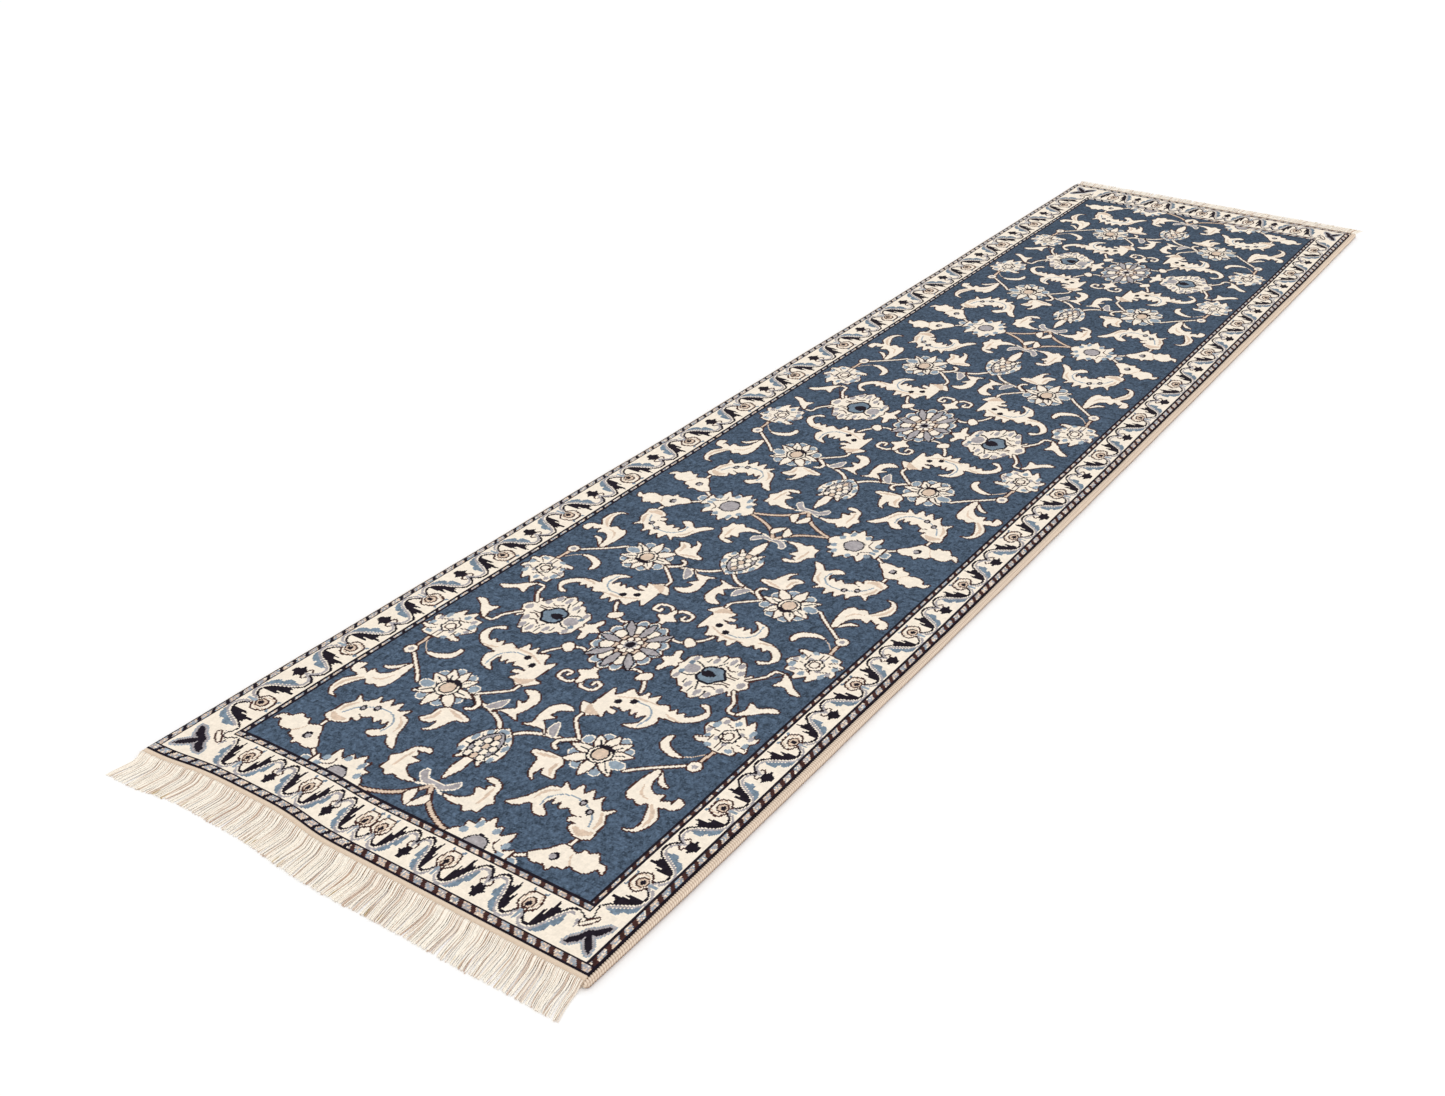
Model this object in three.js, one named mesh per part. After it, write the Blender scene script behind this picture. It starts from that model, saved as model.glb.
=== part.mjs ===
// A hand-knotted runner rug: a wool pile, in a field and three borders, on a woven cotton ground,
// with corded side edges, flat-woven ends and fringes made of the warp ends.
// Millimetres, +Z up. X runs across the rug, Y along it, and the origin is on the floor under its middle.

import * as THREE from 'three';

// Overall size
const PILE_WIDTH = 715;
const PILE_LENGTH = 2980;
const TOTAL_THICKNESS = 10;
const GROUND_THICKNESS = 3;
const GAP = 0.3; // clearance between neighbouring pieces

// Width of each border stripe, counted inwards from the edge of the pile on each side of the rug
const STRIPES = [
  { name: 'outer_guard', colour: 0x8d8684, left: 13, right: 12.3, near: 14, far: 16 },
  { name: 'main_border', colour: 0xd9cbb8, left: 57, right: 45.5, near: 61, far: 74 },
  { name: 'inner_guard', colour: 0x8d8684, left: 10.5, right: 11, near: 12, far: 15 },
];
const SIDES = ['left', 'right', 'near', 'far'];
const FIELD_COLOUR = 0x3e5878;

// Side edges: a cotton cord overcast with wool
const SELVEDGE_WIDTH = 12.2;
const SELVEDGE_HEIGHT = 8.6;
const SELVEDGE_WRAP_THICKNESS = 2.4;
const SELVEDGE_LENGTH = 3000; // past the pile, to the outer edges of the flat-woven bands
const SELVEDGE_SEGMENTS = 12;

// Ends: a flat-woven band, a row of locking stitches and the fringe
const KILIM_DEPTH = 10;
const KILIM_THICKNESS = 7.5; // where it leaves the pile
const KILIM_EDGE_THICKNESS = 3.5; // at its outer edge
const STITCH_DIAMETER = 3;
const FRINGE_LENGTH = 55; // from the kilim to the tips, locking stitches included
const FRINGE_THICKNESS = 3;
const FRINGE_HEADING = 3; // the strip where the tassels are still together
const TASSEL_COUNT = 60;
const TASSEL_SHARE = 0.72; // of the pitch; the rest is the space beside the tassel
const TASSEL_TIP_SEGMENTS = 4;

const COTTON = 0xe6dccb;
const FRINGE_WHITE = 0xf0e9dc;
const SELVEDGE_WOOL = 0xdccbb4;

const rug = new THREE.Group();

function addPiece(name, geometry, colour, roughness) {
  const material = new THREE.MeshStandardMaterial({ color: colour, roughness, metalness: 0 });
  const mesh = new THREE.Mesh(geometry, material);
  mesh.name = name;
  rug.add(mesh);
  return mesh;
}

// A flat piece: its plan outline is pulled up from z = low to z = high.
function flatPiece(name, outline, low, high, colour, roughness) {
  const geometry = new THREE.ExtrudeGeometry(outline, { depth: high - low, bevelEnabled: false });
  addPiece(name, geometry, colour, roughness).position.z = low;
}

// A bar of constant section that runs across the rug (along X) or along it (along Y), centred.
function bar(name, section, length, colour, along) {
  const geometry = new THREE.ExtrudeGeometry(section, {
    depth: length,
    bevelEnabled: false,
    curveSegments: SELVEDGE_SEGMENTS,
  });
  geometry.translate(0, 0, -length / 2);
  geometry.rotateX(Math.PI / 2);
  if (along === 'X') {
    geometry.rotateZ(Math.PI / 2);
  }
  return addPiece(name, geometry, colour, 0.95);
}

function rectangle(box) {
  return new THREE.Shape([
    new THREE.Vector2(box.left, box.near),
    new THREE.Vector2(box.right, box.near),
    new THREE.Vector2(box.right, box.far),
    new THREE.Vector2(box.left, box.far),
  ]);
}

// The plan rectangle that is left when each side of a box is moved inwards by its own amount.
function inset(box, by) {
  return {
    left: box.left + by.left,
    right: box.right - by.right,
    near: box.near + by.near,
    far: box.far - by.far,
  };
}

function evenly(amount) {
  return { left: amount, right: amount, near: amount, far: amount };
}

// One side of a border stripe, cut obliquely at the corners where it meets the next side.
function mitredStrip(outerBox, innerBox, side) {
  const outer = inset(outerBox, evenly(GAP / 2));
  const inner = inset(innerBox, evenly(-GAP / 2));
  const corners = {
    near: [
      [outer.left + GAP, outer.near],
      [outer.right - GAP, outer.near],
      [inner.right - GAP, inner.near],
      [inner.left + GAP, inner.near],
    ],
    far: [
      [outer.right - GAP, outer.far],
      [outer.left + GAP, outer.far],
      [inner.left + GAP, inner.far],
      [inner.right - GAP, inner.far],
    ],
    left: [
      [outer.left, outer.far - GAP],
      [outer.left, outer.near + GAP],
      [inner.left, inner.near + GAP],
      [inner.left, inner.far - GAP],
    ],
    right: [
      [outer.right, outer.near + GAP],
      [outer.right, outer.far - GAP],
      [inner.right, inner.far - GAP],
      [inner.right, inner.near + GAP],
    ],
  };
  return new THREE.Shape(corners[side].map(([x, y]) => new THREE.Vector2(x, y)));
}

function addGroundAndPile() {
  let box = {
    left: -PILE_WIDTH / 2,
    right: PILE_WIDTH / 2,
    near: -PILE_LENGTH / 2,
    far: PILE_LENGTH / 2,
  };
  flatPiece('foundation', rectangle(box), 0, GROUND_THICKNESS, COTTON, 0.95);
  const pileFoot = GROUND_THICKNESS + GAP;
  for (const stripe of STRIPES) {
    const innerBox = inset(box, stripe);
    for (const side of SIDES) {
      const outline = mitredStrip(box, innerBox, side);
      flatPiece(`${stripe.name}_${side}`, outline, pileFoot, TOTAL_THICKNESS, stripe.colour, 0.9);
    }
    box = innerBox;
  }
  const fieldBox = inset(box, evenly(GAP / 2));
  flatPiece('field_pile', rectangle(fieldBox), pileFoot, TOTAL_THICKNESS, FIELD_COLOUR, 0.9);
}

// Section of the overcast side edge: an oval sleeve of wool round an oval cotton cord.
function addSelvedge(side, direction) {
  const centreX = direction * (PILE_WIDTH / 2 + GAP + SELVEDGE_WIDTH / 2);
  const halfWidth = SELVEDGE_WIDTH / 2;
  const halfHeight = SELVEDGE_HEIGHT / 2;
  const boreHalfWidth = halfWidth - SELVEDGE_WRAP_THICKNESS;
  const boreHalfHeight = halfHeight - SELVEDGE_WRAP_THICKNESS;

  const sleeve = new THREE.Shape();
  sleeve.absellipse(0, 0, halfWidth, halfHeight, 0, 2 * Math.PI, false, 0);
  const bore = new THREE.Path();
  bore.absellipse(0, 0, boreHalfWidth, boreHalfHeight, 0, 2 * Math.PI, true, 0);
  sleeve.holes.push(bore);
  const wrap = bar(`selvedge_wrap_${side}`, sleeve, SELVEDGE_LENGTH, SELVEDGE_WOOL, 'Y');
  wrap.position.set(centreX, 0, halfHeight);

  const core = new THREE.Shape();
  core.absellipse(0, 0, boreHalfWidth - GAP, boreHalfHeight - GAP, 0, 2 * Math.PI, false, 0);
  const cord = bar(`selvedge_cord_${side}`, core, SELVEDGE_LENGTH, COTTON, 'Y');
  cord.position.set(centreX, 0, halfHeight);
}

// Plan outline of a fringe with its heading along y = 0 and its tassels pointing towards -Y.
function fringeOutline(length) {
  const pitch = PILE_WIDTH / TASSEL_COUNT;
  const radius = (pitch * TASSEL_SHARE) / 2;
  const outline = new THREE.Shape();
  outline.moveTo(PILE_WIDTH / 2, 0);
  outline.lineTo(-PILE_WIDTH / 2, 0);
  outline.lineTo(-PILE_WIDTH / 2, -FRINGE_HEADING);
  for (let index = 0; index < TASSEL_COUNT; index += 1) {
    const centre = -PILE_WIDTH / 2 + (index + 0.5) * pitch;
    outline.lineTo(centre - radius, -FRINGE_HEADING);
    outline.absarc(centre, radius - length, radius, Math.PI, 2 * Math.PI, false);
    outline.lineTo(centre + radius, -FRINGE_HEADING);
  }
  outline.lineTo(PILE_WIDTH / 2, -FRINGE_HEADING);
  outline.closePath();
  return outline;
}

function addEnd(side, direction) {
  const kilimInner = PILE_LENGTH / 2 + GAP;
  const kilimOuter = PILE_LENGTH / 2 + KILIM_DEPTH;
  const wedge = new THREE.Shape([
    new THREE.Vector2(direction * kilimInner, 0),
    new THREE.Vector2(direction * kilimInner, KILIM_THICKNESS),
    new THREE.Vector2(direction * kilimOuter, KILIM_EDGE_THICKNESS),
    new THREE.Vector2(direction * kilimOuter, 0),
  ]);
  bar(`kilim_${side}`, wedge, PILE_WIDTH, COTTON, 'X');

  const stitchSection = new THREE.Shape();
  stitchSection.absarc(0, 0, STITCH_DIAMETER / 2, 0, 2 * Math.PI, false);
  const stitch = bar(`end_stitch_${side}`, stitchSection, PILE_WIDTH, COTTON, 'X');
  const stitchY = kilimOuter + GAP + STITCH_DIAMETER / 2;
  stitch.position.set(0, direction * stitchY, STITCH_DIAMETER / 2);

  const fringeStart = stitchY + STITCH_DIAMETER / 2 + GAP;
  const fringeEnd = kilimOuter + FRINGE_LENGTH;
  const geometry = new THREE.ExtrudeGeometry(fringeOutline(fringeEnd - fringeStart), {
    depth: FRINGE_THICKNESS,
    bevelEnabled: false,
    curveSegments: TASSEL_TIP_SEGMENTS,
  });
  const fringe = addPiece(`fringe_${side}`, geometry, FRINGE_WHITE, 0.95);
  fringe.rotation.z = direction > 0 ? Math.PI : 0;
  fringe.position.y = direction * fringeStart;
}

addGroundAndPile();
addSelvedge('left', -1);
addSelvedge('right', 1);
addEnd('near', -1);
addEnd('far', 1);

export default rug;
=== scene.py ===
"""A hand-knotted runner rug, laid on a pale floor.

The pile is drawn knot by knot: a cartoon gives each knot its yarn, and the knots of one yarn in one
zone of the rug make one piece. The ground cloth, the overcast side cords, the woven ends with their
locking stitches and the fringes are pieces of their own. All of them are laid on the floor together
by one function, lie(), so they stay joined. Cartoon sizes are in millimetres, everything else in metres.
"""

import math

import bpy
import numpy as np
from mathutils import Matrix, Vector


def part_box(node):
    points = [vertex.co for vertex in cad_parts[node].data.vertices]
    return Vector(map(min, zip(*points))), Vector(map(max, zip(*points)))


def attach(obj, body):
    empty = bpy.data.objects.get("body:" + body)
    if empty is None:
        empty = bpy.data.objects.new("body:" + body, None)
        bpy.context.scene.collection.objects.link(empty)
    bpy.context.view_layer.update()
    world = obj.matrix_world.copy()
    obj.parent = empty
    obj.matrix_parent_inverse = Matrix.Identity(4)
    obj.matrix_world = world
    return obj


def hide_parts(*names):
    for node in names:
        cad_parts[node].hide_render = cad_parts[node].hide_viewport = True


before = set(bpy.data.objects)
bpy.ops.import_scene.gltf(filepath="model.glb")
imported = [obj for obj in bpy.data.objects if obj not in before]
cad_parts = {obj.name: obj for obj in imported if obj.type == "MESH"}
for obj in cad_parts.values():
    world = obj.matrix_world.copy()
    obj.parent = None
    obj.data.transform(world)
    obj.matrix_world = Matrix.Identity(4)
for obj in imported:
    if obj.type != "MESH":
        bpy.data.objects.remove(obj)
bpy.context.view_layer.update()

MM = 0.001
SEED = 20
BODY = "root"
SIDES = ("left", "right", "near", "far")


# ---------------------------------------------------------------- places, read from the frame


def plan_box(*nodes):
    """(left, right, near, far) of some CAD nodes, in metres."""
    lows, highs = zip(*(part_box(node) for node in nodes))
    return (min(p.x for p in lows), max(p.x for p in highs), min(p.y for p in lows), max(p.y for p in highs))


def outline_of(stripe):
    return plan_box(*(f"{stripe}_{side}" for side in SIDES))


PILE = plan_box("foundation")
INSIDE_OUTER_GUARD = outline_of("main_border")
INSIDE_MAIN_BORDER = outline_of("inner_guard")
FIELD = plan_box("field_pile")
GROUND_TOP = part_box("foundation")[1].z
PILE_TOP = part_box("field_pile")[1].z
WIDTH = PILE[1] - PILE[0]
LENGTH = PILE[3] - PILE[2]

# Camera: the place and direction that give the photograph's view of the rug
CAMERA_PLACE = (1.155, -2.434, 1.222)
CAMERA_TURN = (60.53, -0.13, 33.96)  # degrees
CAMERA_LENS = 39.26
CAMERA_SENSOR = 36.0

# Knots
KNOT_WIDTH = 1.8  # mm, as in the cartoon
KNOT_LENGTH = 2.2  # mm
KNOT_JITTER = 0.00012  # how uneven the pile's surface is
EDGE_ROUNDING = 0.0018  # how far the pile comes down at the rug's edge, and over what width
EDGE_SPREAD = 0.0022

# How the rug lies
BOW = 0.010
BOW_START = 0.4  # share of the bow by which both ends lie to the left
NARROWING = 0.008  # share of the width lost at the middle of the length
NEAR_SET_BACK = 0.004  # the near edge lies this far out, but for the stretch of it that is drawn in
DRAWN_IN = 0.0115  # depth, place and reach of that stretch
DRAWN_IN_PLACE = -0.185
DRAWN_IN_REACH = 0.115
FAR_SKEW = 0.006
END_REACH = 0.3  # how far into the rug its uneven ends can be felt
RIPPLE = 0.0008

# ---------------------------------------------------------------- the cartoon: which yarn each knot has

NAVY, CREAM, TAN, LIGHT_BLUE, GREY, DARK, BROWN, MID_BLUE = range(8)
OUTLINE = 2.5  # mm, the dark line of knots round a motif


def smooth(points, closed=False, steps=8):
    """Points of a Catmull-Rom curve through a few drawn points."""
    points = np.array(points, float)
    if closed:
        ring = np.vstack([points[-1:], points, points[:2]])
    else:
        ring = np.vstack([2 * points[0] - points[1], points, 2 * points[-1] - points[-2]])
    t = np.linspace(0, 1, steps, endpoint=False)[:, None]
    curves = []
    for a, b, c, d in zip(ring, ring[1:], ring[2:], ring[3:]):
        bend = 2 * a - 5 * b + 4 * c - d
        twist = 3 * b - a - 3 * c + d
        curves.append((2 * b + (c - a) * t + bend * t**2 + twist * t**3) / 2)
    if not closed:
        curves.append(points[-1:])
    return np.vstack(curves)


def distance_to_path(u, v, path, half_widths):
    """Distance from each knot to a path, less the path's half width there."""
    nearest = np.full(u.shape, np.inf)
    for (a, b), wide_a, wide_b in zip(zip(path, path[1:]), half_widths, half_widths[1:]):
        run = b - a
        share = ((u - a[0]) * run[0] + (v - a[1]) * run[1]) / max(run @ run, 1e-9)
        share = np.clip(share, 0, 1)
        away = np.hypot(u - a[0] - share * run[0], v - a[1] - share * run[1])
        nearest = np.minimum(nearest, away - wide_a - (wide_b - wide_a) * share)
    return nearest


def inside(u, v, ring):
    """Even-odd test of knots against a closed outline."""
    odd = np.zeros(u.shape, bool)
    for a, b in zip(ring, np.roll(ring, -1, axis=0)):
        if a[1] == b[1]:
            continue
        crosses = (a[1] > v) != (b[1] > v)
        odd ^= crosses & (u < a[0] + (v - a[1]) * (b[0] - a[0]) / (b[1] - a[1]))
    return odd


class Cartoon:
    """The yarns of a set of knots, painted shape over shape. Places are in the drawing's own millimetres."""

    def __init__(self, u, v, ground):
        self.u = u
        self.v = v
        self.yarn = np.full(u.shape, ground, np.uint8)

    def near(self, path, margin):
        low = path.min(0) - margin
        high = path.max(0) + margin
        box = (self.u > low[0]) & (self.u < high[0]) & (self.v > low[1]) & (self.v < high[1])
        return np.nonzero(box)

    def fill(self, points, yarn, edge=None, rounded=True, edge_width=OUTLINE):
        ring = smooth(points, closed=True, steps=5) if rounded else np.array(points, float)
        at = self.near(ring, edge_width)
        u, v = self.u[at], self.v[at]
        within = inside(u, v, ring)
        painted = self.yarn[at]
        if edge is not None:
            path = np.vstack([ring, ring[:1]])
            close = distance_to_path(u, v, path, np.full(len(path), edge_width)) < 0
            painted[close & ~within] = edge
        painted[within] = yarn
        self.yarn[at] = painted

    def shape(self, points):
        """A cream shape with a brown outline."""
        self.fill(points, CREAM, BROWN)

    def stroke(self, points, widths, yarn, edge=None, edge_width=OUTLINE):
        """A line of varying width; widths are given at even steps along it."""
        path = smooth(points) if len(points) > 2 else np.array(points, float)
        widths = np.atleast_1d(widths)
        given = np.linspace(0, 1, len(widths))
        half = np.interp(np.linspace(0, 1, len(path)), given, widths) / 2
        at = self.near(path, half.max() + edge_width)
        away = distance_to_path(self.u[at], self.v[at], path, half)
        painted = self.yarn[at]
        if edge is not None:
            painted[(away < edge_width) & (away >= 0)] = edge
        painted[away < 0] = yarn
        self.yarn[at] = painted

    def flower(self, centre, radii, petals, depth, yarn, edge=None, turn=0.0, edge_width=OUTLINE):
        """A round flower whose rim is scalloped; 1 petal with a depth of 0 is a plain oval."""
        angle = np.linspace(0, 2 * np.pi, max(16, 10 * petals), endpoint=False)
        wave = 1 - depth * (1 - np.abs(np.cos(petals * (angle - turn) / 2)))
        ring = np.column_stack([
            centre[0] + radii[0] * wave * np.cos(angle),
            centre[1] + radii[1] * wave * np.sin(angle),
        ])
        self.fill(ring, yarn, edge, rounded=False, edge_width=edge_width)

    def ovals(self, yarn, *ovals, edge=None, edge_width=OUTLINE):
        """Plain ovals, each given by its centre and its two radii."""
        for u, v, radius_u, radius_v in ovals:
            self.flower((u, v), (radius_u, radius_v), 1, 0, yarn, edge, edge_width=edge_width)

    def strokes(self, yarn, width, *lines):
        for line in lines:
            self.stroke(line, width, yarn)

    def leaf(self, spine, widths, yarn, edge=None):
        """A leaf round a curved spine; widths are given at even steps along it."""
        path = smooth(spine, steps=10)
        half = np.interp(np.linspace(0, 1, len(path)), np.linspace(0, 1, len(widths)), widths) / 2
        run = np.gradient(path, axis=0)
        run /= np.maximum(np.linalg.norm(run, axis=1, keepdims=True), 1e-9)
        across = np.column_stack([-run[:, 1], run[:, 0]]) * half[:, None]
        self.fill(np.vstack([path + across, (path - across)[::-1]]), yarn, edge, rounded=False)


# -- Motifs of the field. u runs along the rug from a rosette to the end of its cell, v out from the
# centre line.

CELL_HALF_LENGTH = 440
FIELD_HALF_WIDTH = 286
STEM = 4


def paint_rosette(c):
    c.flower((0, 0), (70, 53), 16, 0.13, CREAM, BROWN)
    c.flower((0, 0), (67, 50), 16, 0.14, LIGHT_BLUE)
    for step in range(16):
        turn = (step + 0.5) * np.pi / 8
        start, end = [(u * np.cos(turn), v * np.sin(turn)) for u, v in ((44, 33), (67, 50))]
        c.stroke([start, end], 2.2, BROWN)
    c.flower((0, 0), (54, 40), 8, 0.36, CREAM, BROWN, turn=np.pi / 8)
    c.flower((0, 0), (31, 22), 8, 0.12, TAN, BROWN)
    c.leaf([(0, 17), (0, 34), (0, 52)], [4, 15, 2], GREY, DARK)
    c.leaf([(24, 0), (44, 0), (64, 0)], [4, 12, 2], GREY, DARK)
    c.leaf([(20, 13), (38, 26), (53, 37)], [4, 13, 2], GREY, DARK)
    for step in range(8):
        turn = step * np.pi / 4
        c.ovals(CREAM, (16 * np.cos(turn), 11 * np.sin(turn), 5.5, 4.4), edge=BROWN)
    c.ovals(DARK, (0, 0, 8, 6), edge=GREY)


def paint_fork(c):
    c.stroke([(108, 2), (119, 12), (116, 30), (101, 31), (99, 21), (107, 21)], [5, 5, 4], CREAM, BROWN)
    c.shape([(61, 4), (79, 4), (90, 17), (98, 6), (113, 3), (113, -8), (61, -8)])


def paint_star_bud(c):
    c.shape([
        (0, 56), (10, 67), (23, 65), (30, 71), (12, 78), (9, 88), (0, 96), (-9, 88), (-12, 78), (-30, 71),
        (-23, 65), (-10, 67),
    ])


def paint_side_palmette(c):
    c.shape([
        (-12, 92), (10, 90), (24, 90), (34, 99), (33, 107), (45, 117), (45, 125), (54, 129), (54, 139),
        (61, 147), (52, 155), (53, 163), (36, 173), (22, 181), (31, 188), (14, 192), (0, 199), (-12, 192),
    ])
    c.ovals(GREY, (44, 163, 7, 5), (27, 172, 7, 5), (46, 148, 9, 4), (36, 126, 8, 4), (26, 99, 7, 4),
            (0, 188, 9, 6))
    c.strokes(BROWN, 2.6, [(14, 176), (13, 166), (18, 156)], [(8, 174), (8, 160)],
              [(28, 164), (25, 156), (32, 146)])
    c.strokes(DARK, 2, [(41, 142), (28, 136), (16, 127)], [(52, 135), (38, 136)], [(36, 118), (27, 117)],
              [(52, 157), (38, 156)])
    c.fill([(0, 160), (11, 153), (20, 147), (20, 136), (14, 126), (0, 127), (-12, 140)], MID_BLUE, DARK,
           edge_width=4)
    c.fill([(0, 147), (9, 138), (8, 128), (-8, 128)], DARK)
    c.stroke([(12, 120), (18, 112), (19, 103)], 2.6, DARK)
    c.ovals(GREY, (2, 108, 11, 11), edge=CREAM, edge_width=2)
    c.ovals(MID_BLUE, (14, 99, 5, 4))


def paint_bracket_stem(c):
    c.stroke([(60, 224), (58, 208), (40, 204), (18, 188)], STEM, CREAM, BROWN)
    c.stroke([(54, 222), (36, 208), (16, 194)], 1.6, BROWN)
    c.shape([(25, 267), (21, 255), (32, 238), (27, 224), (44, 227), (60, 222), (51, 236), (36, 250)])


def paint_side_flower(c):
    c.shape([
        (137, 242), (134, 268), (124, 271), (120, 281), (105, 275), (96, 280), (88, 279), (90, 272),
        (74, 263), (60, 254), (72, 249), (58, 235), (72, 230), (72, 215), (85, 213), (91, 206), (101, 205),
        (117, 217), (125, 206), (131, 213), (130, 224),
    ])
    c.ovals(LIGHT_BLUE, (110, 273, 7, 4), (82, 266, 8, 4), (75, 238, 6, 4.5), (90, 215, 8, 5),
            (115, 218, 5, 3.5), (129, 261, 4, 6), (131, 230, 4, 5))
    c.strokes(BROWN, 2, [(135, 249), (111, 249)], [(133, 242), (117, 242)], [(123, 225), (110, 225)],
              [(98, 272), (92, 260)], [(80, 250), (86, 240), (82, 226)], [(116, 278), (112, 262)],
              [(126, 268), (118, 258)], [(98, 208), (100, 226)], [(124, 210), (116, 226)])
    c.ovals(GREY, (93, 271, 5, 4), (79, 222, 5, 4), (104, 213, 5, 4), (119, 247, 5, 4), (92, 255, 5, 4),
            (113, 232, 5, 4))
    c.flower((103, 244), (14, 12), 6, 0.2, CREAM, DARK)
    c.ovals(CREAM, (104, 243, 7, 6), edge=BROWN)


def paint_side_stem(c):
    c.stroke([(138, 248), (150, 246), (168, 245)], STEM, TAN, BROWN)
    c.stroke([(183, 234), (197, 217), (215, 195), (232, 178)], STEM, CREAM, BROWN)
    c.ovals(CREAM, (178, 245, 10, 9), edge=BROWN)
    c.ovals(GREY, (178, 245, 4.5, 4))
    c.stroke([(151, 241), (162, 232), (170, 222)], 1.8, TAN)
    c.shape([(171, 221), (176, 205), (166, 183), (148, 178), (140, 185), (156, 189), (167, 206)])


def paint_bird_leaf(c):
    c.leaf([(231, 242), (227, 231), (208, 216)], [3, 7, 3], CREAM, BROWN)
    c.shape([
        (322, 244), (320, 258), (305, 267), (285, 267), (268, 256), (262, 274), (247, 279), (241, 267),
        (256, 266), (251, 261), (257, 250), (245, 248), (249, 236), (236, 222), (210, 217), (209, 210),
        (240, 205), (262, 206), (273, 214), (270, 221), (276, 232), (268, 241), (283, 250), (303, 257),
        (317, 254),
    ])
    c.stroke([(306, 262), (290, 261), (277, 254), (268, 246)], [3, 6, 3], TAN)
    c.stroke([(240, 215), (256, 222), (262, 236)], [1.5, 4, 1.5], TAN)


def paint_mid_flower(c):
    middle = np.array([221, 132])
    c.ovals(LIGHT_BLUE, (254, 149, 7, 7), (254, 121, 7, 8), (236, 103, 8, 8), (205, 100, 8, 7),
            (188, 120, 7, 7), (185, 143, 7, 7), (200, 158, 8, 8), edge=CREAM, edge_width=2)
    tips = [(270, 135), (257, 97), (223, 88), (190, 108), (179, 131), (184, 154), (205, 171), (251, 168)]
    for tip in tips:
        way = np.array(tip) - middle
        c.leaf([middle, middle + way * 0.6, tip], [8, 16, 2], CREAM, BROWN)
    c.ovals(LIGHT_BLUE, (228, 163, 8, 11), edge=CREAM, edge_width=2)
    c.stroke([(244, 168), (245, 160), (233, 149)], 2.4, DARK)
    c.strokes(DARK, 2.2, [(236, 139), (249, 143)], [(236, 126), (250, 119)], [(222, 114), (223, 102)],
              [(206, 122), (197, 114)], [(207, 142), (195, 148)], [(214, 150), (208, 162)])
    c.flower(middle, (18, 16), 8, 0.1, CREAM, DARK)
    c.ovals(TAN, (*middle, 12, 10), edge=DARK)
    c.stroke([(210, 143), (204, 131), (211, 118)], [3, 8, 3], DARK)


def paint_lily(c):
    c.shape([
        (293, 115), (294, 98), (284, 91), (300, 88), (309, 94), (304, 84), (288, 77), (273, 73), (268, 59),
        (260, 60), (254, 92), (264, 107), (279, 107),
    ])
    c.stroke([(290, 107), (280, 101), (266, 101)], [3, 6, 3], TAN)
    c.stroke([(258, 92), (262, 78), (265, 65)], [3, 6, 3], TAN)


def paint_hook(c):
    c.stroke([(244, 78), (240, 71), (230, 70), (221, 78), (205, 100)], [5, 5, 6], CREAM, BROWN)
    c.stroke([(238, 76), (230, 77), (222, 88)], 2, DARK)


def paint_centre_stem(c):
    c.stroke([(222, 78), (229, 50), (239, 27), (253, 12)], [4, 5, 5], CREAM, BROWN)
    c.fill([(227, 60), (214, 55), (199, 45), (216, 43), (226, 52)], GREY, CREAM, edge_width=2)
    c.shape([
        (230, 46), (216, 34), (206, 24), (193, 34), (193, 24), (178, 27), (168, 42), (162, 26), (176, 11),
        (200, 11), (218, 15), (228, 6), (224, 22), (222, 36),
    ])


def paint_artichoke(c):
    rim = [(321, 7), (329, 20), (317, 18), (311, 30), (298, 33), (287, 31), (266, 22), (248, 2)]
    c.shape([(337, 0)] + rim + [(u, -v) for u, v in reversed(rim)])
    c.ovals(LIGHT_BLUE, (311, 25, 6, 4), (283, 26, 8, 4), (266, 16, 6, 4), (256, 4, 5, 4))
    for u, v in ((318, 22), (299, 28), (274, 22), (259, 11)):
        c.stroke([(u, v), (u + (296 - u) * 0.3, v * 0.7)], 1.8, DARK)
    c.fill([(326, 0), (320, 11), (296, 19), (272, 13), (260, 0), (272, -13), (320, -11)], GREY, DARK)
    for u, v in ((270, 0), (281, 7), (292, 0), (292, 13), (303, 7), (314, 0), (314, 11)):
        c.ovals(CREAM if v else TAN, (u, v, 6.2, 4.6), edge=DARK, edge_width=1.5)
    c.leaf([(322, 0), (345, 0), (368, 0)], [12, 16, 3], CREAM, BROWN)


def paint_end_stem(c):
    c.stroke([(439, 86), (437, 64), (421, 30), (398, 7), (374, -4)], [4, 5, 5], TAN, BROWN)
    c.stroke([(393, 26), (392, 17), (384, 3), (376, -6)], STEM, CREAM)
    c.shape([(430, 2), (415, 17), (401, 10), (418, 2)])
    c.fill([(388, 12), (376, 29), (365, 26), (379, 14), (380, -3)], GREY, CREAM, edge_width=2)
    c.shape([
        (395, 81), (381, 81), (371, 86), (361, 78), (342, 73), (334, 55), (341, 48), (345, 67), (351, 59),
        (359, 62), (360, 49), (374, 55), (387, 42), (392, 24), (398, 44), (395, 56), (402, 65), (395, 73),
    ])
    c.stroke([(384, 70), (366, 70), (350, 68)], [2, 5, 2], TAN)


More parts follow.
